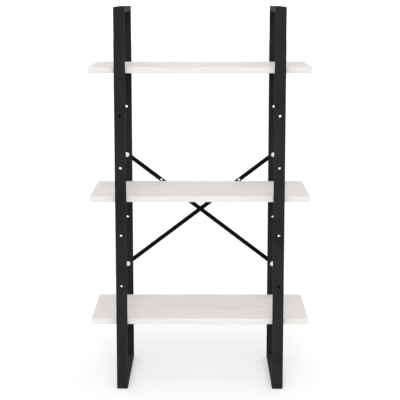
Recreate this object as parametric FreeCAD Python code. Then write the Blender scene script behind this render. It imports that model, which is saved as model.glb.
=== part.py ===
import FreeCAD, Part
import math
import os

# Open three-tier shelving unit: two closed side frames of rectangular steel
# tube, three pine boards through the frames, and two crossed flat bars bolted
# behind the rear legs. Millimetres, +Z up, front faces -Y, X is the width.
# The origin is on the floor, at the centre of the overall box.

os.makedirs("parts", exist_ok=True)

V = FreeCAD.Vector

# ---------------------------------------------------------------- dimensions
UNIT_W = 600.0            # overall width, the length of a board
FRAME_D = 300.0           # depth of a side frame, front face to rear face
FRAME_H = 1050.0          # height of a side frame

TUBE_W = 30.0             # tube size across the unit (X)
TUBE_T = 15.0             # tube size in the plane of the loop
TUBE_WALL = 1.5
TUBE_R = 2.0              # outer corner radius of the tube
FRAME_X = 215.0           # centre of each side frame from the unit's centre

SHELF_D = FRAME_D - 2 * TUBE_T     # the boards fill the loop front to back
SHELF_T = 16.0
SHELF_Z = (181.0, 524.0, 874.0)    # undersides of the boards
SHELF_EDGE_R = 2.0                 # eased edges

BEARER_W = 30.0           # flat strip under a board, across the unit
BEARER_T = 3.0
SCREW_Y = 95.0            # screws at this distance each side of mid-depth

LEG_HOLE_R = 4.0
LEG_HOLE_Z = (290.5, 432.0, 618.0, 759.5)   # the same from either end
BRACE_Z_LOW, BRACE_Z_HIGH = 290.5, 618.0    # brace bolts on the rear legs

BAR_W = 12.0
BAR_T = 2.5
BAR_END = 8.0             # bar length beyond its bolt
BAR_HOLE_R = 3.4
BAR_MID_HOLE_R = 3.0      # one spare hole in each bar
BAR_MID_HOLE = 126.0      # its distance from the upper bolt
BAR_BOW = 1.3             # each bar bows this far to pass the other
BAR_FLAT = 25.0           # flat length at each end, measured from the bolt

BOLT_R = 3.0
BOLT_LEN = 25.0           # under the head
HEAD_R = 7.0              # flanged button head
HEAD_FLANGE_T = 1.0
HEAD_DOME_R = 5.2
HEAD_H = 3.3
SOCKET_AF = 4.0
SOCKET_DEEP = 2.0

WASHER_R, WASHER_BORE_R, WASHER_T = 6.0, 3.2, 1.6
NUT_AF, NUT_H, NUT_BORE_R = 10.0, 5.0, 3.05

SCREW_R = 2.0
SCREW_LEN = 15.0          # under the head
SCREW_HEAD_R = 4.0
SCREW_HEAD_H = 2.6
CLEAR = 0.05

# The brace fasteners stand out behind the frames. All Y values are moved
# forward by half of that, so the overall box is centred on the origin.
REAR_STAND = BOLT_LEN - TUBE_T
Y_MID = -REAR_STAND / 2.0
Y_FRONT = Y_MID - FRAME_D / 2.0
Y_REAR = Y_MID + FRAME_D / 2.0


def box(x0, y0, z0, x1, y1, z1):
    return Part.makeBox(x1 - x0, y1 - y0, z1 - z0, V(x0, y0, z0))


def save(name, shape):
    solids = shape.Solids
    out = solids[0] if len(solids) == 1 else Part.makeCompound(solids)
    if not out.isValid():
        raise ValueError("invalid solid in " + name)
    out.exportStep("parts/" + name + ".step")
    print("%-30s solids %2d  volume %10.1f mm3" % (name, len(solids), out.Volume))


def rounded_bar(w, t, length, r):
    """A bar along +Z, centred on the Z axis, with w along X and t along Y."""
    b = Part.makeBox(w, t, length, V(-w / 2, -t / 2, 0))
    long_edges = [e for e in b.Edges
                  if abs(e.Vertexes[0].Z - e.Vertexes[1].Z) > length / 2]
    return b.makeFillet(r, long_edges)


def tube(length):
    outer = rounded_bar(TUBE_W, TUBE_T, length, TUBE_R)
    inner = rounded_bar(TUBE_W - 2 * TUBE_WALL, TUBE_T - 2 * TUBE_WALL,
                        length + 20, TUBE_R - TUBE_WALL)
    inner.translate(V(0, 0, -10))
    return outer.cut(inner)


def mitre(shape, length):
    """Cuts both ends at 45 degrees, so the face at -Y keeps the full length."""
    h = TUBE_T / 2
    big = 60.0
    for z0, s in ((0.0, 1.0), (length, -1.0)):
        pts = [V(-big, -h, z0), V(-big, h, z0 + s * TUBE_T),
               V(-big, h + big, z0 + s * (TUBE_T + big)), V(-big, h + big, z0 - s * big),
               V(-big, -h - big, z0 - s * big)]
        wedge = Part.Face(Part.makePolygon(pts + [pts[0]])).extrude(V(2 * big, 0, 0))
        shape = shape.cut(wedge)
    return shape


def hole_y(x, z, r, y0, y1):
    return Part.makeCylinder(r, y1 - y0, V(x, y0, z), V(0, 1, 0))


# ------------------------------------------------------------- side frames
def make_leg(side, front):
    """side -1 is left, +1 is right. The long face of a leg is the outer one."""
    leg = mitre(tube(FRAME_H), FRAME_H)
    x = side * FRAME_X
    if front:
        leg.translate(V(x, Y_FRONT + TUBE_T / 2, 0))
    else:
        leg.rotate(V(0, 0, 0), V(0, 0, 1), 180)
        leg.translate(V(x, Y_REAR - TUBE_T / 2, 0))
    for z in LEG_HOLE_Z:
        if front:
            y0, y1 = Y_FRONT - 5, Y_FRONT + TUBE_T + 5
            # One front hole of each frame is in the front wall only. The two
            # frames are alike, one of them turned end for end.
            one_wall = (side < 0 and z == LEG_HOLE_Z[3]) or (side > 0 and z == LEG_HOLE_Z[0])
            if one_wall:
                y1 = Y_FRONT + TUBE_T / 2
        else:
            y0, y1 = Y_REAR - TUBE_T - 5, Y_REAR + 5
        leg = leg.cut(hole_y(x, z, LEG_HOLE_R, y0, y1))
    return leg


def make_rail(side, top):
    """A rail along Y. Its long face is the top of the top rail or the floor face."""
    rail = mitre(tube(FRAME_D), FRAME_D)
    # The bar's Z becomes Y, and its long -Y face turns down or up.
    rail.rotate(V(0, 0, 0), V(1, 0, 0), -90)
    if not top:
        rail.rotate(V(0, 0, 0), V(0, 1, 0), 180)
    z = FRAME_H - TUBE_T / 2 if top else TUBE_T / 2
    rail.translate(V(side * FRAME_X, Y_FRONT, z))
    return rail


def make_bearer(side, z_shelf):
    x = side * FRAME_X
    y0, y1 = Y_FRONT + TUBE_T, Y_REAR - TUBE_T
    b = box(x - BEARER_W / 2, y0, z_shelf - BEARER_T, x + BEARER_W / 2, y1, z_shelf)
    long_edges = [e for e in b.Edges
                  if abs(e.Vertexes[0].Y - e.Vertexes[1].Y) > 100]
    b = b.makeFillet(0.6, long_edges)
    for s in (-1, 1):
        b = b.cut(Part.makeCylinder(SCREW_R + 0.4, 20, V(x, Y_MID + s * SCREW_Y, z_shelf - 10)))
    return b


for side, label in ((-1, "left"), (1, "right")):
    save(label + "_front_leg", make_leg(side, True))
    save(label + "_rear_leg", make_leg(side, False))
    save(label + "_top_rail", make_rail(side, True))
    save(label + "_bottom_rail", make_rail(side, False))
    for z, tier in zip(SHELF_Z, ("lower", "middle", "upper")):
        save(label + "_shelf_bearer_" + tier, make_bearer(side, z))


# ------------------------------------------------------------------ boards
def screw_places():
    for z in SHELF_Z:
        for side in (-1, 1):
            for s in (-1, 1):
                yield side * FRAME_X, Y_MID + s * SCREW_Y, z


def make_shelf(z):
    b = box(-UNIT_W / 2, Y_MID - SHELF_D / 2, z, UNIT_W / 2, Y_MID + SHELF_D / 2, z + SHELF_T)
    b = b.makeFillet(SHELF_EDGE_R, b.Edges)
    bite = SCREW_LEN - BEARER_T
    for x, y, zs in screw_places():
        if zs == z:
            b = b.cut(Part.makeCylinder(SCREW_R + CLEAR, bite + CLEAR + 5, V(x, y, z - 5)))
    return b


for z, name in zip(SHELF_Z, ("bottom_shelf", "middle_shelf", "top_shelf")):
    save(name, make_shelf(z))


# ------------------------------------------------------------------ braces
SPAN_X = 2 * FRAME_X
SPAN_Z = BRACE_Z_HIGH - BRACE_Z_LOW
HALF = math.hypot(SPAN_X, SPAN_Z) / 2.0
SLOPE = math.degrees(math.atan2(SPAN_Z, SPAN_X))


def bow_wire(y_base, bow, s_end, s_flat):
    """Edges from -s_end to s_end: flat ends, then a slow bow to one side."""
    q = s_flat / 2.0
    e = []
    e.append(Part.LineSegment(V(-s_end, y_base, 0), V(-s_flat, y_base, 0)))
    e.append(Part.Arc(V(-s_flat, y_base, 0), V(-s_flat + q / 2, y_base + bow / 8, 0),
                      V(-q, y_base + bow / 2, 0)))
    e.append(Part.Arc(V(-q, y_base + bow / 2, 0), V(0, y_base + bow, 0),
                      V(q, y_base + bow / 2, 0)))
    e.append(Part.Arc(V(q, y_base + bow / 2, 0), V(s_flat - q / 2, y_base + bow / 8, 0),
                      V(s_flat, y_base, 0)))
    e.append(Part.LineSegment(V(s_flat, y_base, 0), V(s_end, y_base, 0)))
    return [c.toShape() for c in e]


def make_brace(rise, bow):
    """rise +1 climbs from left to right. Built along X, then turned about Y."""
    s_end = HALF + BAR_END
    s_flat = HALF - BAR_FLAT
    lower = bow_wire(0.0, bow, s_end, s_flat)
    upper = bow_wire(BAR_T, bow, s_end, s_flat)
    caps = [Part.LineSegment(V(s, 0, 0), V(s, BAR_T, 0)).toShape() for s in (-s_end, s_end)]
    outline = Part.Wire(Part.__sortEdges__(lower + upper + caps))
    bar = Part.Face(outline).extrude(V(0, 0, BAR_W))
    bar.translate(V(0, 0, -BAR_W / 2))
    # Rounded ends: keep what lies inside a slot outline seen from behind.
    r = BAR_W / 2
    a = s_end - r
    arc_r = Part.Arc(V(a, -20, -r), V(s_end, -20, 0), V(a, -20, r)).toShape()
    arc_l = Part.Arc(V(-a, -20, r), V(-s_end, -20, 0), V(-a, -20, -r)).toShape()
    top = Part.LineSegment(V(a, -20, r), V(-a, -20, r)).toShape()
    low = Part.LineSegment(V(-a, -20, -r), V(a, -20, -r)).toShape()
    slot = Part.Face(Part.Wire([low, arc_r, top, arc_l])).extrude(V(0, 40, 0))
    bar = bar.common(slot)
    for s, rad in ((-HALF, BAR_HOLE_R), (HALF, BAR_HOLE_R),
                   (HALF - BAR_MID_HOLE, BAR_MID_HOLE_R)):
        bar = bar.cut(Part.makeCylinder(rad, 40, V(s, -20, 0), V(0, 1, 0)))
    # The upper bolt is at +s. Turn the bar to its slope, mirrored if it falls.
    bar.rotate(V(0, 0, 0), V(0, 1, 0), -SLOPE)
    if rise < 0:
        bar = bar.mirror(V(0, 0, 0), V(1, 0, 0))
    bar.translate(V(0, Y_REAR, (BRACE_Z_LOW + BRACE_Z_HIGH) / 2))
    return bar


save("cross_brace_inner", make_brace(1, -BAR_BOW))
save("cross_brace_outer", make_brace(-1, BAR_BOW))


# --------------------------------------------------------------- fasteners
def hexagon(af, length):
    """A hexagonal bar along +Y from the origin."""
    r = af / math.sqrt(3.0)
    pts = [V(r * math.cos(math.radians(60 * k)), 0, r * math.sin(math.radians(60 * k)))
           for k in range(6)]
    return Part.Face(Part.makePolygon(pts + [pts[0]])).extrude(V(0, length, 0))


def make_bolt():
    """Flanged button head at -Y, shank along +Y, seat at the origin."""
    shank = Part.makeCylinder(BOLT_R, BOLT_LEN - 0.6, V(0, 0, 0), V(0, 1, 0))
    tip = Part.makeCone(BOLT_R, BOLT_R - 0.6, 0.6, V(0, BOLT_LEN - 0.6, 0), V(0, 1, 0))
    flange = Part.makeCylinder(HEAD_R, HEAD_FLANGE_T, V(0, -HEAD_FLANGE_T, 0), V(0, 1, 0))
    rim = [e for e in flange.Edges if len(e.Vertexes) == 1 and abs(e.Vertexes[0].Y + HEAD_FLANGE_T) < 1e-6]
    flange = flange.makeFillet(0.5, rim)
    # Domed part of the head, turned about the bolt's axis.
    y1, y2 = -HEAD_FLANGE_T, -HEAD_H
    top_r = 2.9
    prof = Part.Wire([
        Part.LineSegment(V(0, y1 + 0.3, 0), V(HEAD_DOME_R, y1 + 0.3, 0)).toShape(),
        Part.LineSegment(V(HEAD_DOME_R, y1 + 0.3, 0), V(HEAD_DOME_R, y1, 0)).toShape(),
        Part.Arc(V(HEAD_DOME_R, y1, 0), V(HEAD_DOME_R - 0.75, y1 - 1.35, 0), V(top_r, y2, 0)).toShape(),
        Part.LineSegment(V(top_r, y2, 0), V(0, y2, 0)).toShape(),
        Part.LineSegment(V(0, y2, 0), V(0, y1 + 0.3, 0)).toShape()])
    dome = Part.Face(prof).revolve(V(0, 0, 0), V(0, 1, 0), 360)
    bolt = shank.fuse([tip, flange, dome]).removeSplitter()
    socket = hexagon(SOCKET_AF, SOCKET_DEEP + 1)
    socket.translate(V(0, -HEAD_H - 1, 0))
    return bolt.cut(socket)


def make_washer():
    w = Part.makeCylinder(WASHER_R, WASHER_T, V(0, 0, 0), V(0, 1, 0))
    w = w.cut(Part.makeCylinder(WASHER_BORE_R, WASHER_T + 2, V(0, -1, 0), V(0, 1, 0)))
    return w


def make_nut():
    n = hexagon(NUT_AF, NUT_H)
    # Corners turned off at both faces.
    e = NUT_AF / math.sqrt(3.0)
    prof = Part.makePolygon([V(0, 0, 0), V(NUT_AF / 2, 0, 0), V(e + 0.02, 0.46, 0),
                             V(e + 0.02, NUT_H - 0.46, 0), V(NUT_AF / 2, NUT_H, 0),
                             V(0, NUT_H, 0), V(0, 0, 0)])
    turned = Part.Face(prof).revolve(V(0, 0, 0), V(0, 1, 0), 360)
    n = n.common(turned)
    return n.cut(Part.makeCylinder(NUT_BORE_R, NUT_H + 2, V(0, -1, 0), V(0, 1, 0)))


def make_screw():
    """Pan head below, shank along +Z, seat of the head at the origin."""
    shank = Part.makeCylinder(SCREW_R, SCREW_LEN - 3.5)
    tip = Part.makeCone(SCREW_R, 0.2, 3.5, V(0, 0, SCREW_LEN - 3.5))
    h = SCREW_HEAD_H
    prof = Part.Wire([
        Part.LineSegment(V(0, 0, 0), V(SCREW_HEAD_R, 0, 0)).toShape(),
        Part.LineSegment(V(SCREW_HEAD_R, 0, 0), V(SCREW_HEAD_R, 0, -0.7)).toShape(),
        Part.Arc(V(SCREW_HEAD_R, 0, -0.7), V(SCREW_HEAD_R - 0.95, 0, -2.05), V(1.6, 0, -h)).toShape(),
        Part.LineSegment(V(1.6, 0, -h), V(0, 0, -h)).toShape(),
        Part.LineSegment(V(0, 0, -h), V(0, 0, 0)).toShape()])
    head = Part.Face(prof).revolve(V(0, 0, 0), V(0, 0, 1), 360)
    screw = shank.fuse([tip, head]).removeSplitter()
    for turn in (0, 90):
        slot = box(-2.2, -0.45, -h - 1, 2.2, 0.45, -h + 1.4)
        slot.rotate(V(0, 0, 0), V(0, 0, 1), turn + 45)
        screw = screw.cut(slot)
    return screw


def brace_places():
    for side in (-1, 1):
        for z in (BRACE_Z_LOW, BRACE_Z_HIGH):
            yield side * FRAME_X, z


def group(make, y):
    out = []
    for k, (x, z) in enumerate(brace_places()):
        s = make()
        s.rotate(V(0, 0, 0), V(0, 1, 0), 17.0 * k)
        s.translate(V(x, y, z))
        out.append(s)
    return Part.makeCompound(out)


save("brace_bolts", group(make_bolt, Y_REAR - TUBE_T))
save("brace_washers", group(make_washer, Y_REAR + BAR_T))
save("brace_nuts", group(make_nut, Y_REAR + BAR_T + WASHER_T))

screws = []
for k, (x, y, z) in enumerate(screw_places()):
    s = make_screw()
    s.rotate(V(0, 0, 0), V(0, 0, 1), 31.0 * k)
    s.translate(V(x, y, z - BEARER_T))
    screws.append(s)
save("shelf_screws", Part.makeCompound(screws))
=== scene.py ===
import bpy
import bmesh
import math
from mathutils import Matrix, Vector


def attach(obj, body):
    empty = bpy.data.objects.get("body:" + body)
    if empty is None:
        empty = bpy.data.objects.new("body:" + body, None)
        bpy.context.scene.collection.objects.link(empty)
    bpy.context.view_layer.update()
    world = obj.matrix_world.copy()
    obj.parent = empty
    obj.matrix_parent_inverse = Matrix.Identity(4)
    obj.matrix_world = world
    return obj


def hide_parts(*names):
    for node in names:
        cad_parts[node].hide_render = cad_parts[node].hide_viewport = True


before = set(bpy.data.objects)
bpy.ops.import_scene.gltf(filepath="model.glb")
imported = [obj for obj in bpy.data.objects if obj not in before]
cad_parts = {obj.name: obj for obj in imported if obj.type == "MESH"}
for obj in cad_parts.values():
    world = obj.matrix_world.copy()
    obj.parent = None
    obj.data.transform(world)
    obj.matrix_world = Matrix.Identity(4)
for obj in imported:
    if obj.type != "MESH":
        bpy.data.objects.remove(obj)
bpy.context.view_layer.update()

# Open three-tier shelving unit. All sizes below are in millimetres in the
# same frame as the solids: +Z up, the front faces -Y, origin on the floor.
MM = 0.001
scene = bpy.context.scene

# ------------------------------------------------------------ dimensions
FRAME_H, FRAME_D = 1050.0, 300.0
TUBE_W, TUBE_T, TUBE_WALL, TUBE_R = 30.0, 15.0, 1.5, 2.0
FRAME_X = 215.0
Y_MID = -5.0
Y_FRONT, Y_REAR = Y_MID - 150.0, Y_MID + 150.0
SHELF_L, SHELF_D, SHELF_T, SHELF_R = 600.0, 270.0, 16.0, 2.0
SHELF_Z = {"bottom": 181.0, "middle": 524.0, "top": 874.0}
BEARER_W, BEARER_T, SCREW_Y = 30.0, 3.0, 95.0
HOLE_R = 4.0
HOLE_Z = (290.5, 432.0, 618.0, 759.5)
BRACE_Z = (290.5, 618.0)
BAR_W, BAR_T, BAR_END, BAR_BOW, BAR_FLAT = 12.0, 2.5, 8.0, 1.3, 25.0
BAR_HOLE_R, BAR_MID_HOLE_R, BAR_MID_HOLE = 3.4, 3.0, 126.0
HALF = math.hypot(2 * FRAME_X, BRACE_Z[1] - BRACE_Z[0]) / 2.0
SLOPE = math.atan2(BRACE_Z[1] - BRACE_Z[0], 2 * FRAME_X)
BOLT_R, BOLT_LEN = 3.0, 25.0
HEAD_R, HEAD_FLANGE, HEAD_DOME_R, HEAD_H = 7.0, 1.0, 5.2, 3.3
NUT_AF, NUT_H = 10.0, 5.0
WASHER_R, WASHER_BORE, WASHER_T = 6.0, 3.2, 1.6

# --------------------------------------------------------------- camera
CAM_X, CAM_Y, CAM_Z = 12.3, -3316.6, 1082.0
CAM_PITCH, CAM_YAW = 9.086, -0.216
CAM_F = 1185.0                     # focal length in pixels of a 400 wide frame
cam_data = bpy.data.cameras.new("camera")
cam = bpy.data.objects.new("camera", cam_data)
scene.collection.objects.link(cam)
cam.location = (CAM_X * MM, CAM_Y * MM, CAM_Z * MM)
cam.rotation_euler = (math.radians(90.0 - CAM_PITCH), 0.0, math.radians(-CAM_YAW))
cam_data.sensor_width = 36.0
cam_data.lens = CAM_F / 400.0 * 36.0
cam_data.shift_x = 0.0
cam_data.shift_y = -0.04
cam_data.clip_start, cam_data.clip_end = 0.05, 100.0
scene.camera = cam

scene.view_settings.view_transform = "Standard"
scene.view_settings.look = "None"
scene.view_settings.exposure = 0.0
scene.view_settings.gamma = 1.0


# ------------------------------------------------------------- node helper
class Nodes:
    """Short way to add shader nodes and link them."""

    def __init__(self, name):
        self.mat = bpy.data.materials.new(name)
        self.mat.use_nodes = True
        self.t = self.mat.node_tree
        self.t.nodes.clear()
        self.out = self.t.nodes.new("ShaderNodeOutputMaterial")
        self.bsdf = self.t.nodes.new("ShaderNodeBsdfPrincipled")
        self.t.links.new(self.bsdf.outputs[0], self.out.inputs["Surface"])

    def put(self, socket, value):
        if isinstance(value, bpy.types.NodeSocket):
            self.t.links.new(value, socket)
        elif value is not None:
            socket.default_value = value

    def math(self, op, a, b=None, c=None, clamp=False):
        n = self.t.nodes.new("ShaderNodeMath")
        n.operation, n.use_clamp = op, clamp
        for s, v in zip(n.inputs, (a, b, c)):
            self.put(s, v)
        return n.outputs[0]

    def coords(self):
        n = self.t.nodes.new("ShaderNodeTexCoord")
        return n.outputs["Object"]

    def split(self, v):
        n = self.t.nodes.new("ShaderNodeSeparateXYZ")
        self.put(n.inputs[0], v)
        return n.outputs[0], n.outputs[1], n.outputs[2]

    def join(self, x, y, z):
        n = self.t.nodes.new("ShaderNodeCombineXYZ")
        for s, v in zip(n.inputs, (x, y, z)):
            self.put(s, v)
        return n.outputs[0]

    def noise(self, vec, scale, detail=2.0, rough=0.5, distort=0.0):
        n = self.t.nodes.new("ShaderNodeTexNoise")
        self.put(n.inputs["Vector"], vec)
        self.put(n.inputs["Scale"], scale)
        self.put(n.inputs["Detail"], detail)
        self.put(n.inputs["Roughness"], rough)
        self.put(n.inputs["Distortion"], distort)
        return n.outputs["Fac"]

    def white(self, w):
        n = self.t.nodes.new("ShaderNodeTexWhiteNoise")
        n.noise_dimensions = "1D"
        self.put(n.inputs["W"], w)
        return n.outputs["Value"], n.outputs["Color"]

    def remap(self, v, a, b, c, d, smooth=False):
        n = self.t.nodes.new("ShaderNodeMapRange")
        n.clamp = True
        if smooth:
            n.interpolation_type = "SMOOTHSTEP"
        for name, val in (("Value", v), ("From Min", a), ("From Max", b), ("To Min", c), ("To Max", d)):
            self.put(n.inputs[name], val)
        return n.outputs[0]

    def mix(self, fac, a, b):
        n = self.t.nodes.new("ShaderNodeMix")
        n.data_type = "RGBA"
        self.put(n.inputs["Factor"], fac)
        self.put(n.inputs[6], a)
        self.put(n.inputs[7], b)
        return n.outputs[2]

    def bump(self, height, strength, distance, normal=None):
        n = self.t.nodes.new("ShaderNodeBump")
        n.inputs["Strength"].default_value = strength
        n.inputs["Distance"].default_value = distance
        self.put(n.inputs["Height"], height)
        if normal is not None:
            self.put(n.inputs["Normal"], normal)
        return n.outputs[0]


def rgb(r, g, b):
    return (r, g, b, 1.0)


# ---------------------------------------------------------------- materials
def powder_coat(name, dark, light, rough_lo, rough_hi, spec):
    """Matt black powder coat: orange peel, a finer grain, slightly uneven sheen."""
    n = Nodes(name)
    p = n.coords()
    peel = n.noise(p, 640.0, 2.0, 0.55)
    grain = n.noise(p, 2100.0, 2.0, 0.6)
    cloud = n.noise(p, 9.0, 3.0, 0.55)
    tone = n.math("ADD", n.math("MULTIPLY", cloud, 0.40), n.math("MULTIPLY_ADD", grain, 0.32, n.math("MULTIPLY", peel, 0.28)))
    col = n.mix(n.remap(tone, 0.38, 0.62, 0.0, 1.0), rgb(*dark), rgb(*light))
    n.put(n.bsdf.inputs["Base Color"], col)
    r = n.remap(n.math("ADD", n.math("MULTIPLY", cloud, 0.55), n.math("MULTIPLY", grain, 0.45)),
                0.3, 0.7, rough_lo, rough_hi)
    n.put(n.bsdf.inputs["Roughness"], r)
    n.bsdf.inputs["Specular IOR Level"].default_value = spec
    n.put(n.bsdf.inputs["Normal"], n.bump(grain, 0.70, 0.00024, n.bump(peel, 0.80, 0.00070)))
    return n.mat


def painted_pine(name):
    """White paint over edge-glued pine: each stave has its own growth rings,
    which the thin paint still shows as faint tone and relief."""
    n = Nodes(name)
    x, y, z = n.split(n.coords())
    # Stave number along the depth, with its own random numbers. The board's
    # height feeds in too, so no two boards are alike.
    stave = n.math("FLOOR", n.math("DIVIDE", n.math("ADD", y, 0.140), 0.054))
    tier = n.math("FLOOR", n.math("DIVIDE", z, 0.30))
    seed = n.math("ADD", n.math("MULTIPLY", tier, 17.0), n.math("ADD", stave, 3.37))
    ra, rcol = n.white(seed)
    r1, r2, r3 = n.split(rcol)
    xs = n.math("ADD", x, n.math("MULTIPLY", ra, 7.0))
    # Knots: a few branches that pass through a stave.
    vor = n.t.nodes.new("ShaderNodeTexVoronoi")
    vor.voronoi_dimensions, vor.feature = "2D", "F1"
    n.put(vor.inputs["Vector"], n.join(n.math("MULTIPLY_ADD", seed, 5.3, n.math("MULTIPLY", xs, 3.2)),
                                       n.math("MULTIPLY", y, 4.6), 0.0))
    vor.inputs["Scale"].default_value = 1.0
    vor.inputs["Randomness"].default_value = 1.0
    k1, k2, k3 = n.split(vor.outputs["Color"])
    has = n.math("GREATER_THAN", k1, 0.52)
    u = n.math("DIVIDE", vor.outputs["Distance"], n.math("MULTIPLY_ADD", k2, 0.018, 0.020))
    core = n.math("MULTIPLY", n.remap(u, 0.80, 1.05, 1.0, 0.0, True), has)
    rim = n.math("MULTIPLY", n.math("MULTIPLY", n.remap(u, 0.78, 1.0, 0.0, 1.0, True), n.remap(u, 1.0, 1.30, 1.0, 0.0, True)), has)
    swirl = n.math("MULTIPLY", n.remap(u, 0.5, 4.2, 1.0, 0.0, True), has)
    # Pith of the stave's log: above the board, and it wanders.
    wob = n.noise(n.join(xs, n.math("MULTIPLY", seed, 1.7), 0.0), 2.2, 2.0, 0.5)
    wob2 = n.noise(n.join(xs, n.math("MULTIPLY", seed, 3.1), 5.0), 6.0, 2.0, 0.5)
    yc = n.math("ADD", n.math("ADD", -0.140, n.math("MULTIPLY", n.math("ADD", stave, 0.5), 0.054)),
                n.math("MULTIPLY", n.math("SUBTRACT", r1, 0.5), 0.05))
    dy = n.math("ADD", n.math("SUBTRACT", y, yc), n.math("MULTIPLY", n.math("SUBTRACT", wob, 0.5), 0.035))
    zl = n.math("SUBTRACT", z, n.math("MULTIPLY", tier, 0.343))
    dz = n.math("ADD", n.math("SUBTRACT", zl, n.math("MULTIPLY_ADD", r2, 0.05, 0.10)),
                n.math("MULTIPLY", n.math("SUBTRACT", wob2, 0.5), 0.014))
    rad = n.math("SQRT", n.math("ADD", n.math("MULTIPLY", dy, dy), n.math("MULTIPLY", dz, dz)))
    fine = n.noise(n.join(n.math("MULTIPLY", xs, 14.0), n.math("MULTIPLY", y, 900.0), n.math("MULTIPLY", z, 900.0)),
                   1.0, 2.0, 0.55)
    ringpos = n.math("ADD", n.math("MULTIPLY_ADD", rad, 230.0, n.math("MULTIPLY", swirl, 2.4)), n.math("MULTIPLY", fine, 0.22))
    ring = n.math("FRACT", ringpos)
    late = n.remap(ring, 0.45, 0.93, 0.0, 1.0, True)
    late = n.math("MULTIPLY", late, n.remap(ring, 0.93, 1.0, 1.0, 0.0, True))
    # Long soft streaks, broader warm bands and a slow tone for the paint itself.
    streak = n.noise(n.join(n.math("MULTIPLY", xs, 3.0), n.math("MULTIPLY", y, 110.0), n.math("MULTIPLY", z, 110.0)),
                     1.0, 3.0, 0.6)
    band = n.noise(n.join(n.math("MULTIPLY", xs, 5.5), n.math("MULTIPLY", y, 42.0), n.math("MULTIPLY", z, 42.0)),
                   1.0, 2.0, 0.5, 0.4)
    slow = n.noise(n.join(n.math("MULTIPLY", x, 4.0), n.math("MULTIPLY", y, 7.0), z), 1.0, 2.0, 0.5)
    white = n.mix(n.remap(n.math("ADD", n.math("MULTIPLY", streak, 0.6), n.math("MULTIPLY", slow, 0.4)), 0.3, 0.7, 0.0, 1.0),
                  rgb(0.696, 0.674, 0.654), rgb(0.748, 0.730, 0.714))
    white = n.mix(n.math("MULTIPLY", n.math("SUBTRACT", r3, 0.2), 0.5, clamp=True), white, rgb(0.705, 0.668, 0.634))
    white = n.mix(n.remap(band, 0.48, 0.72, 0.0, 0.55, True), white, rgb(0.668, 0.626, 0.584))
    col = n.mix(n.math("MULTIPLY", late, 0.28), white, rgb(0.600, 0.558, 0.516))
    col = n.mix(n.math("MULTIPLY", core, 0.34), col, rgb(0.52, 0.45, 0.39))
    col = n.mix(n.math("MULTIPLY", rim, 0.30), col, rgb(0.42, 0.35, 0.29))
    # The paint is a touch thinner on the rounded edges, in places.
    edge = n.t.nodes.new("ShaderNodeAttribute")
    edge.attribute_name = "arris"
    patch = n.noise(n.join(n.math("MULTIPLY", x, 34.0), n.math("MULTIPLY", y, 34.0), n.math("MULTIPLY", z, 90.0)), 1.0, 3.0, 0.6)
    thin = n.math("MULTIPLY", edge.outputs["Fac"], n.remap(patch, 0.46, 0.70, 0.0, 0.32, True))
    col = n.mix(thin, col, rgb(0.58, 0.49, 0.39))
    n.put(n.bsdf.inputs["Base Color"], col)
    n.put(n.bsdf.inputs["Roughness"], n.remap(n.math("ADD", n.math("MULTIPLY", late, 0.3), n.math("MULTIPLY", streak, 0.7)),
                                              0.2, 0.8, 0.38, 0.54))
    n.bsdf.inputs["Specular IOR Level"].default_value = 0.4
    relief = n.math("ADD", n.math("MULTIPLY", late, 0.7), n.math("MULTIPLY_ADD", fine, 0.3, n.math("MULTIPLY", rim, 0.5)))
    nb = n.bump(relief, 0.40, 0.00022)
    roller = n.noise(n.coords(), 420.0, 2.0, 0.5)
    n.put(n.bsdf.inputs["Normal"], n.bump(roller, 0.10, 0.00022, nb))
    return n.mat


def zinc(name, base, r_lo, r_hi):
    """Bright zinc plate with a fine, uneven sheen."""
    n = Nodes(name)
    p = n.coords()
    cloud = n.noise(p, 260.0, 3.0, 0.6)
    grain = n.noise(p, 2400.0, 2.0, 0.6)
    n.put(n.bsdf.inputs["Base Color"],
          n.mix(n.remap(cloud, 0.3, 0.7, 0.0, 1.0), rgb(*[c * 0.9 for c in base]), rgb(*base)))
    n.bsdf.inputs["Metallic"].default_value = 1.0
    n.put(n.bsdf.inputs["Roughness"], n.remap(n.math("ADD", n.math("MULTIPLY", cloud, 0.5), n.math("MULTIPLY", grain, 0.5)),
                                              0.3, 0.7, r_lo, r_hi))
    n.put(n.bsdf.inputs["Normal"], n.bump(grain, 0.10, 0.00008))
    return n.mat


MAT_FRAME = powder_coat("frame_powder_coat", (0.0084, 0.0084, 0.0086), (0.0236, 0.0236, 0.0239), 0.60, 0.78, 0.09)
MAT_BRACE = powder_coat("brace_powder_coat", (0.0016, 0.0016, 0.0017), (0.0052, 0.0052, 0.0053), 0.56, 0.74, 0.06)
MAT_PINE = painted_pine("white_painted_pine")
MAT_ZINC = zinc("bright_zinc", (0.95, 0.955, 0.96), 0.40, 0.54)
MAT_NUT = zinc("nut_zinc", (0.70, 0.71, 0.73), 0.22, 0.36)
MAT_SCREW = zinc("screw_zinc", (0.74, 0.75, 0.77), 0.24, 0.38)


# ------------------------------------------------------------- mesh helpers
def face_out(bm):
    """Makes the faces of every closed shell point outward."""
    bmesh.ops.recalc_face_normals(bm, faces=bm.faces[:])
    todo = set(bm.faces)
    while todo:
        start = todo.pop()
        shell, stack = [start], [start]
        while stack:
            for e in stack.pop().edges:
                for f in e.link_faces:
                    if f in todo:
                        todo.remove(f)
                        shell.append(f)
                        stack.append(f)
        vol = 0.0
        for f in shell:
            v = [w.co for w in f.verts]
            for i in range(1, len(v) - 1):
                vol += v[0].dot(v[i].cross(v[i + 1]))
        if vol < 0.0:
            bmesh.ops.reverse_faces(bm, faces=shell)


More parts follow.
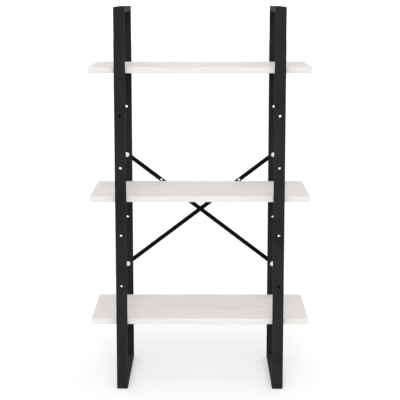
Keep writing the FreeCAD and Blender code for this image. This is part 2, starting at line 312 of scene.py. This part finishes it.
def make_piece(name, bm, mat, nodes=(), angle=32.0, place=None):
    """Turns a bmesh in millimetres into a piece that rides on the unit."""
    face_out(bm)
    m = Matrix.Diagonal((MM, MM, MM, 1.0))
    if place is not None:
        m = m @ place
    bmesh.ops.transform(bm, matrix=m, verts=bm.verts[:])
    lim = math.radians(angle)
    for f in bm.faces:
        f.smooth = True
    for e in bm.edges:
        e.smooth = len(e.link_faces) == 2 and e.calc_face_angle(0.0) < lim
    me = bpy.data.meshes.new(name)
    bm.to_mesh(me)
    bm.free()
    ob = bpy.data.objects.new(name, me)
    scene.collection.objects.link(ob)
    me.materials.append(mat)
    wn = ob.modifiers.new("flat", "WEIGHTED_NORMAL")
    wn.mode, wn.weight, wn.keep_sharp = "FACE_AREA", 90, True
    bpy.context.view_layer.update()
    done = bpy.data.meshes.new_from_object(ob.evaluated_get(bpy.context.evaluated_depsgraph_get()))
    done.name = name + "_mesh"
    ob.modifiers.clear()
    ob.data = done
    bpy.data.meshes.remove(me)
    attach(ob, "root")
    if nodes:
        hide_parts(*nodes)
    return ob


def ring_faces(bm, a, b):
    n = len(a)
    for i in range(n):
        bm.faces.new((a[i], a[(i + 1) % n], b[(i + 1) % n], b[i]))


def add_loop(bm, pts):
    return [bm.verts.new(p) for p in pts]


def arc(cx, cy, r, a0, a1, n):
    return [(cx + r * math.cos(math.radians(a0 + (a1 - a0) * k / n)),
             cy + r * math.sin(math.radians(a0 + (a1 - a0) * k / n))) for k in range(n + 1)]


# --------------------------------------------------------- rectangular tube
def tube_profile(hx, hy, r, n, a):
    """Points of the section, each with its outward normal."""
    def bend(cx, cy, a0):
        return [(cx + r * math.cos(t), cy + r * math.sin(t), math.cos(t), math.sin(t))
                for t in (math.radians(a0 + 90.0 * k / n) for k in range(n + 1))]

    p = [(-a, -hy, 0.0, -1.0), (a, -hy, 0.0, -1.0)]
    p += bend(hx - r, -hy + r, -90) + bend(hx - r, hy - r, 0)
    p += [(a, hy, 0.0, 1.0), (-a, hy, 0.0, 1.0)]
    p += bend(-hx + r, hy - r, 90) + bend(-hx + r, -hy + r, 180)
    return p


def tube_mesh(length, front_holes=(), back_holes=()):
    """A mitred rectangular tube along Z. The -Y face keeps the full length.
    front_holes are in the -Y wall, back_holes in the +Y wall."""
    bm = bmesh.new()
    hx, hy, n, a = TUBE_W / 2, TUBE_T / 2, 5, 7.0
    outer = tube_profile(hx, hy, TUBE_R, n, a)
    inner = tube_profile(hx - TUBE_WALL, hy - TUBE_WALL, TUBE_R - TUBE_WALL + 0.2, n, a)
    count = len(outer)
    ip = 2 + 2 * (n + 1)        # index of the point at (a, +hy)
    levels = []
    for h in sorted(set(front_holes) | set(back_holes)):
        levels += [h - a, h + a]

    def easing(nx, ny):
        """How the rim eases into the mitre: (along the tube, into the wall) at three steps.
        A fine seam on the side faces, a ground corner on the outside."""
        side, out, inn = nx * nx, max(0.0, -ny) ** 2, max(0.0, ny) ** 2
        return ((0.28 * side + 0.80 * out + 0.25 * inn, 0.0),
                (0.08 * side + 0.43 * out + 0.08 * inn, 0.08 * side + 0.06 * out + 0.06 * inn),
                (0.0, 0.26 * side + 0.23 * out + 0.15 * inn))

    def rim_point(q, step, top):
        px, py, nx, ny = q
        along, into = easing(nx, ny)[step]
        px, py = px - nx * into, py - ny * into
        z = py + hy + along
        return (px, py, length - z if top else z)

    # Columns of verts: mitre rim, wall, mitre rim.
    go = [[bm.verts.new(rim_point(q, 0, False))] + [bm.verts.new((q[0], q[1], z)) for z in levels]
          + [bm.verts.new(rim_point(q, 0, True))] for q in outer]
    gi = [[bm.verts.new((q[0], q[1], z)) for z in [q[1] + hy] + levels + [length - (q[1] + hy)]] for q in inner]
    last = len(levels) + 1

    def has_hole(k, holes):
        return k % 2 == 1 and k < last and any(abs((levels[k - 1] + levels[k]) / 2 - h) < 1e-6 for h in holes)

    for g in (go, gi):
        for i in range(count):
            j = (i + 1) % count
            for k in range(last):
                if i == 0 and has_hole(k, front_holes):
                    continue
                if i == ip and has_hole(k, back_holes):
                    continue
                bm.faces.new((g[i][k], g[j][k], g[j][k + 1], g[i][k + 1]))
    for top in (False, True):
        k = last if top else 0
        rims = [[go[i][k] for i in range(count)]]
        rims += [add_loop(bm, [rim_point(q, step, top) for q in outer]) for step in (1, 2)]
        rims.append([gi[i][k] for i in range(count)])
        for ra, rb in zip(rims, rims[1:]):
            ring_faces(bm, ra, rb)

    seg = 40
    rim = 0.45

    def fan(corners, circle, cz):
        """Fills between a square's four corners and a circle of verts."""
        for j in range(seg):
            j2 = (j + 1) % seg
            mid = 360.0 * (j + 0.5) / seg
            q = int(mid // 90)
            bm.faces.new((corners[q], circle[j], circle[j2]))
            if j % (seg // 4) == 0:
                bm.faces.new((corners[q - 1], corners[q], circle[j]))

    def circle(r, yy, cz):
        return add_loop(bm, [(r * math.cos(2 * math.pi * j / seg), yy, cz + r * math.sin(2 * math.pi * j / seg))
                             for j in range(seg)])

    for holes, i0, s, ylo in ((front_holes, 0, 1.0, -hy), (back_holes, ip, -1.0, hy)):
        for h in holes:
            k = levels.index(h - a) + 1
            rings = [circle(HOLE_R + rim * (1 - math.sin(math.radians(t))), ylo + s * rim * (1 - math.cos(math.radians(t))), h)
                     for t in (0, 30, 60, 90)]
            rings.append(circle(HOLE_R, ylo + s * TUBE_WALL, h))
            for ra, rb in zip(rings, rings[1:]):
                ring_faces(bm, ra, rb)
            for g, ring in ((go, rings[0]), (gi, rings[-1])):
                c = {}
                for vert in (g[i0][k], g[i0 + 1][k], g[i0 + 1][k + 1], g[i0][k + 1]):
                    c[(vert.co.x > 0, vert.co.z > h)] = vert
                fan([c[(True, True)], c[(False, True)], c[(False, False)], c[(True, False)]], ring, h)
    return bm


TURN_BACK = Matrix.Rotation(math.pi, 4, "Z")
for side, label in ((-1, "left"), (1, "right")):
    x = side * FRAME_X
    one_wall = HOLE_Z[3] if side < 0 else HOLE_Z[0]
    through = tuple(z for z in HOLE_Z if z != one_wall)
    make_piece(label + "_front_leg_tube", tube_mesh(FRAME_H, HOLE_Z, through), MAT_FRAME,
               (label + "_front_leg",), place=Matrix.Translation((x, Y_FRONT + TUBE_T / 2, 0)))
    make_piece(label + "_rear_leg_tube", tube_mesh(FRAME_H, HOLE_Z, HOLE_Z), MAT_FRAME,
               (label + "_rear_leg",), place=Matrix.Translation((x, Y_REAR - TUBE_T / 2, 0)) @ TURN_BACK)
    # A rail lies along Y. Its long face is the top of the unit or the floor face.
    lay = Matrix.Rotation(math.radians(-90), 4, "X")
    make_piece(label + "_top_rail_tube", tube_mesh(FRAME_D), MAT_FRAME, (label + "_top_rail",),
               place=Matrix.Translation((x, Y_FRONT, FRAME_H - TUBE_T / 2)) @ lay)
    make_piece(label + "_bottom_rail_tube", tube_mesh(FRAME_D), MAT_FRAME, (label + "_bottom_rail",),
               place=Matrix.Translation((x, Y_FRONT, TUBE_T / 2)) @ Matrix.Rotation(math.pi, 4, "Y") @ lay)


# ----------------------------------------------------- flat parts with holes
def flat_mesh(outline, holes, t, c, seg=3, hole_seg=32):
    """A plate in the XY plane, from z 0 to t. outline(d) gives its outline moved
    in by d. All rims are rounded by c."""
    bm = bmesh.new()
    steps = [(c * (1 - math.sin(math.radians(90.0 * k / seg))), c * (1 - math.cos(math.radians(90.0 * k / seg))))
             for k in range(seg + 1)]

    def circle(cx, cy, r, z):
        return add_loop(bm, [(cx + r * math.cos(2 * math.pi * j / hole_seg), cy + r * math.sin(2 * math.pi * j / hole_seg), z)
                             for j in range(hole_seg)])

    def side(make):
        """make(d, z) makes one loop. Returns the lowest and the highest loop."""
        loops = [make(d, h) for d, h in steps] + [make(d, t - h) for d, h in reversed(steps)]
        for a, b in zip(loops, loops[1:]):
            ring_faces(bm, a, b)
        return loops[0], loops[-1]

    ends = [side(lambda d, z: add_loop(bm, [(px, py, z) for px, py in outline(d)]))]
    for cx, cy, r in holes:
        ends.append(side(lambda d, z, cx=cx, cy=cy, r=r: circle(cx, cy, r + d, z)))
    for which, sign in ((0, -1.0), (1, 1.0)):
        edges = []
        for pair in ends:
            loop = pair[which]
            for i in range(len(loop)):
                edges.append(bm.edges.get((loop[i], loop[(i + 1) % len(loop)])))
        bmesh.ops.triangle_fill(bm, edges=edges, use_beauty=True, use_dissolve=False, normal=(0, 0, sign))
    return bm


def rect_outline(hx, hy, r, n):
    def f(d):
        rr = max(r - d, 0.02)
        ax, ay = hx - d, hy - d
        return (arc(ax - rr, -ay + rr, rr, -90, 0, n) + arc(ax - rr, ay - rr, rr, 0, 90, n)
                + arc(-ax + rr, ay - rr, rr, 90, 180, n) + arc(-ax + rr, -ay + rr, rr, 180, 270, n))
    return f


def bearer_outline(d):
    """The strip's long sides are rounded, its ends are welded to the legs."""
    ax, ay = BEARER_W / 2 - d, SHELF_D / 2
    return [(-ax, -ay), (ax, -ay), (ax, -SCREW_Y), (ax, 0), (ax, SCREW_Y), (ax, ay),
            (-ax, ay), (-ax, SCREW_Y), (-ax, 0), (-ax, -SCREW_Y)]


for side, label in ((-1, "left"), (1, "right")):
    for tier, node in (("bottom", "lower"), ("middle", "middle"), ("top", "upper")):
        bm = flat_mesh(bearer_outline, [(0, -SCREW_Y, 2.4), (0, SCREW_Y, 2.4)], BEARER_T, 0.5)
        make_piece("%s_shelf_bearer_%s_strip" % (label, node), bm, MAT_FRAME,
                   ("%s_shelf_bearer_%s" % (label, node),),
                   place=Matrix.Translation((side * FRAME_X, Y_MID, SHELF_Z[tier] - BEARER_T)))


# --------------------------------------------------------------- diagonals
def bow(s):
    """How far a bar has bowed at distance s from its middle."""
    flat = HALF - BAR_FLAT
    u = abs(s) / flat
    if u >= 1.0:
        return 0.0
    return BAR_BOW * (1 - 2 * u * u) if u < 0.5 else BAR_BOW * 2 * (1 - u) ** 2


def bar_outline(d):
    r = BAR_W / 2 - d
    a = HALF + BAR_END - BAR_W / 2
    low = [(-a + 2 * a * k / 56.0, -r) for k in range(57)]
    top = [(a - 2 * a * k / 56.0, r) for k in range(57)]
    return low + arc(a, 0, r, -90, 90, 16)[1:-1] + top + arc(-a, 0, r, 90, 270, 16)[1:-1]


for name, node, rise, sign in (("cross_brace_inner_bar", "cross_brace_inner", 1, -1.0),
                               ("cross_brace_outer_bar", "cross_brace_outer", -1, 1.0)):
    bm = flat_mesh(bar_outline, [(-HALF, 0, BAR_HOLE_R), (HALF, 0, BAR_HOLE_R),
                                 (HALF - BAR_MID_HOLE, 0, BAR_MID_HOLE_R)], BAR_T, 0.4)
    for v in bm.verts:
        s, w, t = v.co
        y = t + sign * bow(s)
        px = s * math.cos(SLOPE) - w * math.sin(SLOPE)
        pz = s * math.sin(SLOPE) + w * math.cos(SLOPE)
        v.co = (rise * px, Y_REAR + y, (BRACE_Z[0] + BRACE_Z[1]) / 2 + pz)
    make_piece(name, bm, MAT_BRACE, (node,))


# ------------------------------------------------------------------ boards
STAVES = (-81.0, -27.0, 27.0, 81.0)      # glue lines across a board


def shelf_mesh():
    bm = bmesh.new()
    arris = bm.verts.layers.float.new("arris")
    n = 5
    groove_w, groove_d = 0.35, 0.12

    def loop(x, d, all_round):
        hy, hz, r = SHELF_D / 2 - d, SHELF_T / 2 - d, max(SHELF_R - d, 0.15)
        bend = [0.0] + [1.0] * (n - 1) + [0.0]
        p = arc(hy - r, -hz + r, r, -90, 0, n) + arc(hy - r, hz - r, r, 0, 90, n)
        m = bend + bend
        for g in reversed(STAVES):
            p += [(g + groove_w, hz), (g, hz - groove_d), (g - groove_w, hz)]
            m += [0.0, 0.0, 0.0]
        p += arc(-hy + r, hz - r, r, 90, 180, n) + arc(-hy + r, -hz + r, r, 180, 270, n)
        m += bend + bend
        for g in STAVES:
            p += [(g - groove_w, -hz), (g, -hz + groove_d), (g + groove_w, -hz)]
            m += [0.0, 0.0, 0.0]
        verts = add_loop(bm, [(x, py, pz) for py, pz in p])
        for v, a in zip(verts, m):
            v[arris] = max(a, all_round)
        return verts

    loops = []
    stops = []
    for k in range(n + 1):
        t = math.radians(90.0 * k / n)
        stops.append((SHELF_R * (1 - math.sin(t)) * 0.92, SHELF_R * (1 - math.cos(t)), 1.0 if 0 < k < n else 0.0))
    for d, dx, a in stops:
        loops.append(loop(-SHELF_L / 2 + dx, d, a))
    for xm in (-200.0, -100.0, 0.0, 100.0, 200.0):
        loops.append(loop(xm, 0.0, 0.0))
    for d, dx, a in reversed(stops):
        loops.append(loop(SHELF_L / 2 - dx, d, a))
    for a, b in zip(loops, loops[1:]):
        ring_faces(bm, a, b)
    bm.faces.new(loops[0])
    bm.faces.new(list(reversed(loops[-1])))
    return bm


for tier, z in SHELF_Z.items():
    make_piece(tier + "_shelf_board", shelf_mesh(), MAT_PINE, (tier + "_shelf",), angle=50.0,
               place=Matrix.Translation((0, Y_MID, z + SHELF_T / 2)))


# --------------------------------------------------------------- fasteners
def turned(bm, profile, seg, close_end=True):
    """Turns (radius, z) points about Z. A radius may be a function of the angle."""
    loops = []
    for r, z in profile:
        pts = []
        for j in range(seg):
            t = 2 * math.pi * j / seg
            rr = r(t) if callable(r) else r
            zz = z(t) if callable(z) else z
            pts.append((rr * math.cos(t), rr * math.sin(t), zz))
        loops.append(add_loop(bm, pts))
    for a, b in zip(loops, loops[1:]):
        ring_faces(bm, a, b)
    return loops


def hex_r(af):
    def f(t):
        u = (math.degrees(t) % 60.0) - 30.0
        return (af / 2) / math.cos(math.radians(u))
    return f


def thread(z0, z1, r_out, depth, pitch, seg, start_cut=0.0):
    """Loops of a screw thread as (radius, z) functions, from z0 to z1."""
    prof = []
    steps = max(2, int(round((z1 - z0) / pitch * 6)))
    for k in range(steps + 1):
        zk = z0 + (z1 - z0) * k / steps

        def r(t, zk=zk):
            ph = (zk / pitch - t / (2 * math.pi)) % 1.0
            tri = abs(2 * ph - 1)
            fade = min(1.0, (zk - z0) / pitch, (z1 - zk) / (0.6 * pitch) + 0.25)
            return r_out - depth * fade * min(1.0, max(0.0, 1.15 * tri - 0.05))
        prof.append((r, zk))
    return prof


def bolt_mesh():
    """Head towards -Z, shank along +Z, seat at z 0."""
    bm = bmesh.new()
    seg = 48
    hexr = hex_r(4.0)
    prof = []
    # Socket, from its cone point out to the rim.
    prof += [(0.25, -HEAD_H + 2.45), (lambda t: hexr(t) * 0.96, -HEAD_H + 2.0), (hexr, -HEAD_H + 1.9), (hexr, -HEAD_H + 0.18),
             (lambda t: hexr(t) + 0.18, -HEAD_H)]
    # Domed head and flange.
    dome = []
    for k in range(9):
        t = math.radians(90.0 * k / 8)
        dome.append((2.95 + (HEAD_DOME_R - 2.95) * math.sin(t), -HEAD_H + (HEAD_H - HEAD_FLANGE) * (1 - math.cos(t))))
    prof += dome
    prof += [(HEAD_DOME_R + 0.25, -HEAD_FLANGE + 0.02 - 0.06), (HEAD_R - 0.45, -HEAD_FLANGE + 0.10), (HEAD_R - 0.15, -HEAD_FLANGE + 0.22),
             (HEAD_R, -HEAD_FLANGE + 0.48), (HEAD_R, -0.12), (HEAD_R - 0.12, 0.0), (BOLT_R, 0.0)]
    prof += [(BOLT_R, 4.0)]
    prof += thread(4.2, BOLT_LEN - 0.6, BOLT_R, 0.5, 1.0, seg)
    prof += [(BOLT_R - 0.45, BOLT_LEN - 0.2), (BOLT_R - 0.8, BOLT_LEN), (0.25, BOLT_LEN)]
    loops = turned(bm, prof, seg)
    bm.faces.new(list(reversed(loops[0])))
    bm.faces.new(loops[-1])
    return bm


def nut_mesh():
    bm = bmesh.new()
    seg = 72
    hexr = hex_r(NUT_AF)
    rc = NUT_AF / 2 * 0.95

    def drop(t):
        return (hexr(t) - rc) * math.tan(math.radians(30))

    loops = turned(bm, [(3.06, 0.55), (3.45, 0.0), (rc, 0.0), (hexr, lambda t: drop(t)),
                        (hexr, lambda t: NUT_H - drop(t)), (rc, NUT_H), (3.45, NUT_H), (3.06, NUT_H - 0.55)], seg)
    inner = thread(0.55, NUT_H - 0.55, 3.3, 0.24, 1.0, seg)
    lo = loops[0]
    prev = lo
    for r, z in inner[1:-1]:
        cur = add_loop(bm, [(r(2 * math.pi * j / seg) * math.cos(2 * math.pi * j / seg),
                             r(2 * math.pi * j / seg) * math.sin(2 * math.pi * j / seg), z) for j in range(seg)])
        ring_faces(bm, prev, cur)
        prev = cur
    ring_faces(bm, prev, loops[-1])
    return bm


def washer_mesh():
    return flat_mesh(lambda d: arc(0, 0, WASHER_R - d, 0, 360, 48)[:-1], [(0, 0, WASHER_BORE)], WASHER_T, 0.2, 2, 36)


def screw_mesh():
    """Pan head towards -Z with a cross recess, thread along +Z."""
    bm = bmesh.new()
    seg = 72

    def cross(scale):
        def f(t):
            u = abs(((math.degrees(t) + 45.0) % 90.0) - 45.0)
            w, far = 0.48, 2.15
            u = max(math.radians(u), 1e-4)
            return scale * min(far / math.cos(u), w / math.sin(u))
        return f

    h = 2.6
    prof = [(0.12, -0.75), (cross(0.42), -1.05), (cross(0.92), -h + 0.25), (cross(1.0), -h + 0.10), (cross(1.06), -h + 0.02)]
    for k in range(9):
        t = math.radians(90.0 * k / 8)
        prof.append((2.45 + 1.55 * math.sin(t), -h + 0.02 + (h - 0.7) * (1 - math.cos(t))))
    prof += [(4.0, -0.1), (3.9, 0.0), (2.0, 0.0), (1.95, 1.5)]
    prof += thread(1.7, 12.0, 2.0, 0.62, 1.8, seg)
    prof += [(1.1, 13.2), (0.15, 15.0)]
    loops = turned(bm, prof, seg)
    bm.faces.new(list(reversed(loops[0])))
    bm.faces.new(loops[-1])
    return bm


def gather(name, mesh, places, mat, nodes, angle=32.0):
    """One piece from several copies of a small part, each placed by a matrix."""
    out = bmesh.new()
    for m in places:
        one = mesh()
        bmesh.ops.transform(one, matrix=m, verts=one.verts[:])
        tmp = bpy.data.meshes.new("tmp")
        one.to_mesh(tmp)
        one.free()
        out.from_mesh(tmp)
        bpy.data.meshes.remove(tmp)
    return make_piece(name, out, mat, nodes, angle)


BACK = Matrix.Rotation(math.radians(-90), 4, "X")     # +Z becomes +Y
spots = [(side * FRAME_X, z) for side in (-1, 1) for z in BRACE_Z]


def at_bolts(y, turns):
    return [Matrix.Translation((x, y, z)) @ BACK @ Matrix.Rotation(math.radians(a), 4, "Z")
            for (x, z), a in zip(spots, turns)]


gather("brace_bolts_threaded", bolt_mesh, at_bolts(Y_REAR - TUBE_T, (8, 41, 23, 52)), MAT_ZINC, ("brace_bolts",))
gather("brace_washers_plain", washer_mesh, at_bolts(Y_REAR + BAR_T, (0, 0, 0, 0)), MAT_NUT, ("brace_washers",))
gather("brace_nuts_hex", nut_mesh, at_bolts(Y_REAR + BAR_T + WASHER_T, (11, 47, 29, 3)), MAT_NUT, ("brace_nuts",))

screw_places = []
k = 0
for z in SHELF_Z.values():
    for side in (-1, 1):
        for s in (-1, 1):
            k += 1
            screw_places.append(Matrix.Translation((side * FRAME_X, Y_MID + s * SCREW_Y, z - BEARER_T))
                                @ Matrix.Rotation(math.radians(31.0 * k), 4, "Z"))
gather("shelf_screws_pan_head", screw_mesh, screw_places, MAT_SCREW, ("shelf_screws",))


# ------------------------------------------------------------------- welds
def bead(bm, p0, p1, a, b, leg, ripple, phase):
    """A fillet weld from p0 to p1 in the corner between directions a and b."""
    p0, p1, a, b = Vector(p0), Vector(p1), Vector(a), Vector(b)
    length = (p1 - p0).length
    n = max(8, int(length / 0.6))
    arcs = 7
    loops = []
    for i in range(n + 1):
        u = i / n
        end = min(1.0, min(u, 1 - u) * length / 1.6)
        end = math.sqrt(max(0.0, 1 - (1 - end) ** 2))
        wave = 1.0 + 0.10 * math.cos(2 * math.pi * u * length / ripple + phase) + 0.05 * math.sin(u * length * 0.9 + 2.1 * phase)
        w = leg * max(0.05, end) * wave
        c = p0.lerp(p1, u)
        sink = -0.25
        pts = [c + a * sink + b * sink]
        for k in range(arcs + 1):
            t = k / arcs
            # A flat to slightly proud bead between the two legs.
            q = a * (w * (1 - t)) + b * (w * t)
            q += (a + b) * (0.30 * w * math.sin(math.pi * t))
            if k == 0:
                q += b * sink
            if k == arcs:
                q += a * sink
            pts.append(c + q)
        loops.append(add_loop(bm, pts))
    for la, lb in zip(loops, loops[1:]):
        ring_faces(bm, la, lb)
    bm.faces.new(loops[0])
    bm.faces.new(list(reversed(loops[-1])))


for side, label in ((-1, "left"), (1, "right")):
    bm = bmesh.new()
    xa, xb = side * FRAME_X - 12.2, side * FRAME_X + 12.2
    k = 0
    # Inside corners of the loop.
    for y, dy in ((Y_FRONT + TUBE_T, 1), (Y_REAR - TUBE_T, -1)):
        for z, dz in ((TUBE_T, 1), (FRAME_H - TUBE_T, -1)):
            k += 1
            bead(bm, (xa, y, z), (xb, y, z), (0, dy, 0), (0, 0, dz), 2.4, 2.3, 0.9 * k + side)
    # Under the ends of the bearers.
    for z in SHELF_Z.values():
        for y, dy in ((Y_FRONT + TUBE_T, 1), (Y_REAR - TUBE_T, -1)):
            k += 1
            bead(bm, (xa, y, z - BEARER_T), (xb, y, z - BEARER_T), (0, dy, 0), (0, 0, -1), 2.2, 2.1, 1.3 * k + side)
    make_piece(label + "_frame_welds", bm, MAT_FRAME, (), angle=40.0)


# -------------------------------------------------------- floor and lights
floor_mesh = bpy.data.meshes.new("floor")
R = 30.0
floor_mesh.from_pydata([(-R, -R, 0), (R, -R, 0), (R, R, 0), (-R, R, 0)], [], [(0, 1, 2, 3)])
floor = bpy.data.objects.new("floor", floor_mesh)
scene.collection.objects.link(floor)
fl = Nodes("pale_floor")
cloud = fl.noise(fl.coords(), 0.8, 2.0, 0.5)
fl.put(fl.bsdf.inputs["Base Color"], fl.mix(cloud, rgb(0.600, 0.600, 0.600), rgb(0.620, 0.620, 0.620)))
fl.bsdf.inputs["Roughness"].default_value = 0.9
fl.bsdf.inputs["Specular IOR Level"].default_value = 0.1
fl.bsdf.inputs["Emission Color"].default_value = (1.0, 1.0, 1.0, 1.0)
fl.bsdf.inputs["Emission Strength"].default_value = 0.325
floor_mesh.materials.append(fl.mat)

# A far white wall all round. Only the camera sees it, so it neither lights the
# unit nor blocks the lights.
WALL_R, WALL_H, WALL_N = 25.0, 25.0, 96
ring = [(WALL_R * math.cos(2 * math.pi * k / WALL_N), WALL_R * math.sin(2 * math.pi * k / WALL_N)) for k in range(WALL_N)]
wall_mesh = bpy.data.meshes.new("backdrop")
wall_mesh.from_pydata([(x, y, 0.0) for x, y in ring] + [(x, y, WALL_H) for x, y in ring], [],
                      [(k, (k + 1) % WALL_N, WALL_N + (k + 1) % WALL_N, WALL_N + k) for k in range(WALL_N)])
wall = bpy.data.objects.new("backdrop", wall_mesh)
scene.collection.objects.link(wall)
wl = Nodes("white_wall")
cloud = wl.noise(wl.coords(), 0.3, 2.0, 0.5)
wl.put(wl.bsdf.inputs["Base Color"], wl.mix(cloud, rgb(0.600, 0.600, 0.600), rgb(0.620, 0.620, 0.620)))
wl.bsdf.inputs["Roughness"].default_value = 0.9
wl.bsdf.inputs["Specular IOR Level"].default_value = 0.1
wl.bsdf.inputs["Emission Color"].default_value = (1.0, 1.0, 1.0, 1.0)
wl.bsdf.inputs["Emission Strength"].default_value = 0.9
wall_mesh.materials.append(wl.mat)
wall.visible_diffuse = wall.visible_glossy = wall.visible_transmission = wall.visible_shadow = False

# The backdrop is plain white. The light that it gives is strongest at the
# horizon and fades to none overhead, so that the large soft keys in front and
# behind shape the boards.
world = bpy.data.worlds.new("studio")
scene.world = world
world.use_nodes = True
wt = world.node_tree
wt.nodes.clear()
w_out = wt.nodes.new("ShaderNodeOutputWorld")
w_mix = wt.nodes.new("ShaderNodeMixShader")
w_ray = wt.nodes.new("ShaderNodeLightPath")
w_fill = wt.nodes.new("ShaderNodeBackground")
w_back = wt.nodes.new("ShaderNodeBackground")
w_fill.inputs["Color"].default_value = (1.0, 1.0, 1.0, 1.0)
w_dir = wt.nodes.new("ShaderNodeTexCoord")
w_xyz = wt.nodes.new("ShaderNodeSeparateXYZ")
w_map = wt.nodes.new("ShaderNodeMapRange")
for key, val in (("From Min", 0.0), ("From Max", 1.0), ("To Min", 0.88), ("To Max", 0.0)):
    w_map.inputs[key].default_value = val
wt.links.new(w_dir.outputs["Generated"], w_xyz.inputs[0])
wt.links.new(w_xyz.outputs["Z"], w_map.inputs["Value"])
wt.links.new(w_map.outputs[0], w_fill.inputs["Strength"])
w_back.inputs["Color"].default_value = (1.0, 1.0, 1.0, 1.0)
w_back.inputs["Strength"].default_value = 1.0
wt.links.new(w_ray.outputs["Is Camera Ray"], w_mix.inputs[0])
wt.links.new(w_fill.outputs[0], w_mix.inputs[1])
wt.links.new(w_back.outputs[0], w_mix.inputs[2])
wt.links.new(w_mix.outputs[0], w_out.inputs["Surface"])


def far_key(name, azimuth, elevation, spread, strength):
    """A large far softbox. Azimuth 0 is in front, positive to the right."""
    d = bpy.data.lights.new(name, "SUN")
    d.angle, d.energy = math.radians(spread), strength * math.pi
    o = bpy.data.objects.new(name, d)
    scene.collection.objects.link(o)
    a, e = math.radians(azimuth), math.radians(elevation)
    at = Vector((math.sin(a) * math.cos(e), -math.cos(a) * math.cos(e), math.sin(e)))
    o.location = at * 4.0
    o.rotation_euler = (-at).to_track_quat("-Z", "Y").to_euler()
    return o


far_key("key_left", -35.0, 55.0, 60.0, 0.240)
far_key("key_right", 35.0, 55.0, 60.0, 0.240)
far_key("front", 0.0, 30.0, 30.0, 0.300)
far_key("back_left", -130.0, 45.0, 60.0, 0.292)
far_key("back_right", 130.0, 45.0, 60.0, 0.292)
